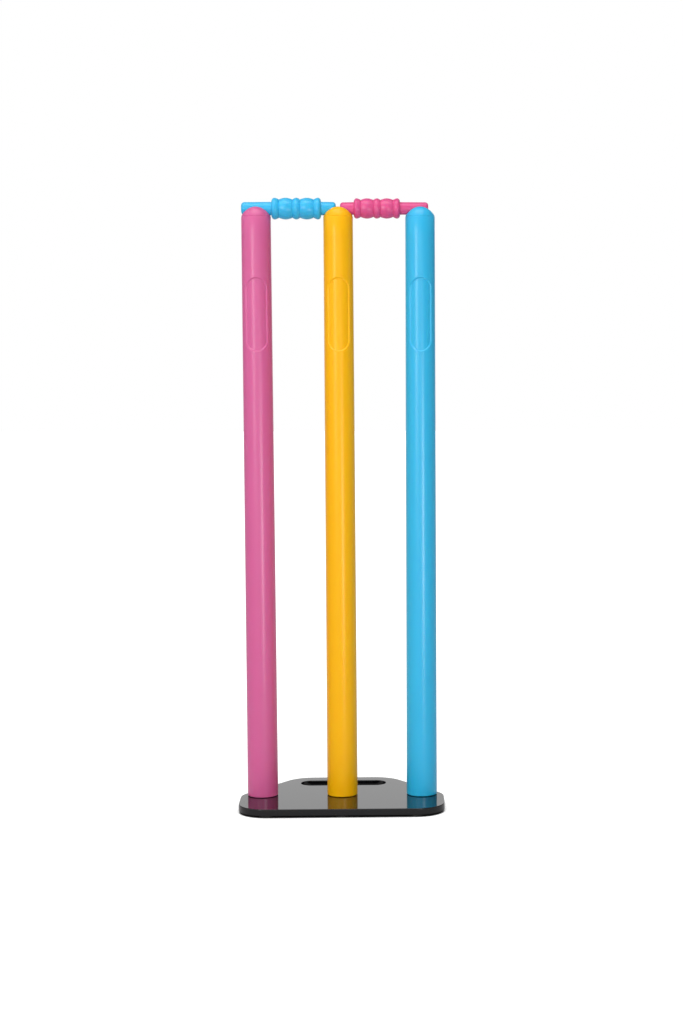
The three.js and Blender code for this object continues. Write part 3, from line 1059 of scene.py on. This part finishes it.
def painted_floor(values):
    """Matt paint on a smooth floor.

    It gives the eye pure white in the open, the real shadow from the lamps, and a painted shadow,
    darker in colour and in glow, where the wicket stands close.
    """
    material, tree, place = new_material("painted_floor")
    clouds = noise(tree, place, length=0.4, detail=2.0)
    # Painted shadow: where the wicket hides the open room from it, both its paint and its glow are
    # made darker
    hidden = add_node(tree, "ShaderNodeAmbientOcclusion", {"Distance": 0.04}, samples=8)
    painted_shadow_share = ramp(tree, hidden.outputs["AO"], (0.3, 0.7), (0.0, 1.0))
    # The floor's colour with the painted shadow blended in
    paint = add_node(
        tree, "ShaderNodeMix",
        {"Factor": painted_shadow_share, "A": tint(values, 0.1), "B": mottle(tree, clouds, values, 0.99, 1.01)},
        data_type="RGBA",
    )
    matt = add_node(tree, "ShaderNodeBsdfDiffuse", {"Color": paint.outputs["Result"]})
    # The lamps light it near the wicket, so that its glow is weaker there than further off
    distance = add_node(tree, "ShaderNodeVectorMath", {0: place}, operation="LENGTH")
    away = ramp(tree, distance.outputs["Value"], (0.15, 0.6), (0.85, 1.0))
    # The glow is darkened by the same painted shadow
    open_room = calculate(tree, "MULTIPLY", painted_shadow_share, away)
    level = calculate(tree, "MULTIPLY", white_for_eye(tree, gloss_level=0.2), open_room)
    glow = add_node(tree, "ShaderNodeEmission", {"Strength": level})
    both = add_node(
        tree, "ShaderNodeAddShader", {0: matt.outputs["BSDF"], 1: glow.outputs["Emission"]}
    )
    add_node(tree, "ShaderNodeOutputMaterial", {"Surface": both.outputs["Shader"]})
    return material


def studio_room():
    """The room around the wicket.

    It is white to the eye. A gloss shows light and dark walls, and all else gets a soft fill.
    """
    world = bpy.data.worlds.new("studio_world")
    world.use_nodes = True
    tree = world.node_tree
    tree.nodes.clear()
    coordinates = add_node(tree, "ShaderNodeTexCoord")
    direction = add_node(
        tree, "ShaderNodeSeparateXYZ", {"Vector": coordinates.outputs["Generated"]}
    )
    sideways, back, up = (direction.outputs[axis] for axis in "XYZ")
    path = add_node(tree, "ShaderNodeLightPath")
    # The fill is stronger from the left than from the right, even from behind, and highest above
    front_fill = ramp(tree, sideways, (-0.9, 0.7), (0.6, 0.22))
    turned_back = ramp(tree, back, (0.1, 0.6), (0.0, 1.0))
    around = blend(tree, turned_back, front_fill, 0.8)
    from_above = ramp(tree, up, (0.0, 0.8), (1.0, 1.5))
    fill = calculate(tree, "MULTIPLY", around, from_above)
    # A gloss shows white walls to the left and in front, dark ones beside them, and white behind
    walls = ramp(tree, sideways, (-0.3, 0.4), (1.0, 0.5))
    open_front = ramp(tree, back, (0.0, 0.35), (1.0, 0.2))
    shine = calculate(tree, "MULTIPLY", walls, open_front)
    behind = ramp(tree, back, (0.8, 0.93), (0.0, 1.0))
    mirrored = blend(tree, behind, shine, 1.0)
    other = blend(tree, path.outputs["Is Glossy Ray"], fill, mirrored)
    seen = blend(tree, path.outputs["Is Camera Ray"], other, 1.0)
    white = (1.0, 1.0, 1.0, 1.0)
    backdrop = add_node(tree, "ShaderNodeBackground", {"Color": white, "Strength": seen})
    add_node(tree, "ShaderNodeOutputWorld", {"Surface": backdrop.outputs["Background"]})
    return world


def add_lamp(name, place, aim, sides, power):
    """A rectangular studio lamp that looks at a point."""
    turned = (Vector(aim) - Vector(place)).to_track_quat("-Z", "Y").to_euler()
    bpy.ops.object.light_add(type="AREA", location=place, rotation=turned)
    lamp = bpy.context.object
    lamp.name = lamp.data.name = name
    lamp.data.shape = "RECTANGLE"
    lamp.data.size, lamp.data.size_y = sides
    lamp.data.energy = power


class WICKET_OT_studio(bpy.types.Operator):
    """Set up the camera, the pale floor, the backdrop and the lamps"""

    bl_idname = "wicket.studio"
    bl_label = "Studio"

    def execute(self, context):
        sizes = context.scene.wicket_studio
        scene = context.scene
        scene.view_settings.view_transform = "Standard"

        turned = (
            Matrix.Rotation(-CAMERA_YAW, 3, "Z")
            @ Matrix.Rotation(QUARTER - CAMERA_PITCH, 3, "X")
            @ Matrix.Rotation(CAMERA_ROLL, 3, "Z")
        )
        bpy.ops.object.camera_add(location=CAMERA_PLACE, rotation=turned.to_euler())
        camera = context.object
        camera.name = camera.data.name = "studio_camera"
        camera.data.sensor_width = SENSOR_WIDTH
        camera.data.lens = sizes.focal_length
        camera.data.shift_x, camera.data.shift_y = CAMERA_SHIFT
        camera.data.clip_end = 100.0
        scene.camera = camera

        bpy.ops.mesh.primitive_plane_add(size=FLOOR_SIDE, location=(0, 0, 0))
        floor = context.object
        floor.name = floor.data.name = "studio_floor"
        floor.data.materials.append(painted_floor(sizes.floor_colour))

        scene.world = studio_room()
        for lamp in LAMPS:
            add_lamp(*lamp)
        return {"FINISHED"}


class WICKET_PT_pieces(bpy.types.Panel):
    """Lists the wicket's pieces and their sizes"""

    bl_label = "Cricket Wicket"
    bl_idname = "WICKET_PT_pieces"
    bl_space_type = "VIEW_3D"
    bl_region_type = "UI"
    bl_category = "Wicket"

    def draw(self, context):
        for operator in OPERATORS:
            self.layout.operator(operator.bl_idname, text=operator.bl_label)
        for group, kind in CLASSES_OF_SIZES:
            box = self.layout.box()
            for name in kind.__annotations__:
                box.prop(getattr(context.scene, group), name)


OPERATORS = (
    WICKET_OT_studio,
    WICKET_OT_base_plate,
    WICKET_OT_stumps,
    WICKET_OT_bails,
    WICKET_OT_ground_pads,
    WICKET_OT_base_screws,
    WICKET_OT_foot_fittings,
)


def register():
    for group, kind in CLASSES_OF_SIZES:
        bpy.utils.register_class(kind)
        setattr(bpy.types.Scene, group, PointerProperty(type=kind))
    for kind in (*OPERATORS, WICKET_PT_pieces):
        bpy.utils.register_class(kind)


def unregister():
    for kind in reversed((*OPERATORS, WICKET_PT_pieces)):
        bpy.utils.unregister_class(kind)
    for group, kind in reversed(CLASSES_OF_SIZES):
        delattr(bpy.types.Scene, group)
        bpy.utils.unregister_class(kind)


def main():
    register()
    bpy.ops.wicket.studio()
    bpy.ops.wicket.base_plate()
    bpy.ops.wicket.stumps()
    bpy.ops.wicket.bails()
    bpy.ops.wicket.ground_pads()
    bpy.ops.wicket.base_screws()
    bpy.ops.wicket.foot_fittings()


if __name__ == "__main__":
    main()
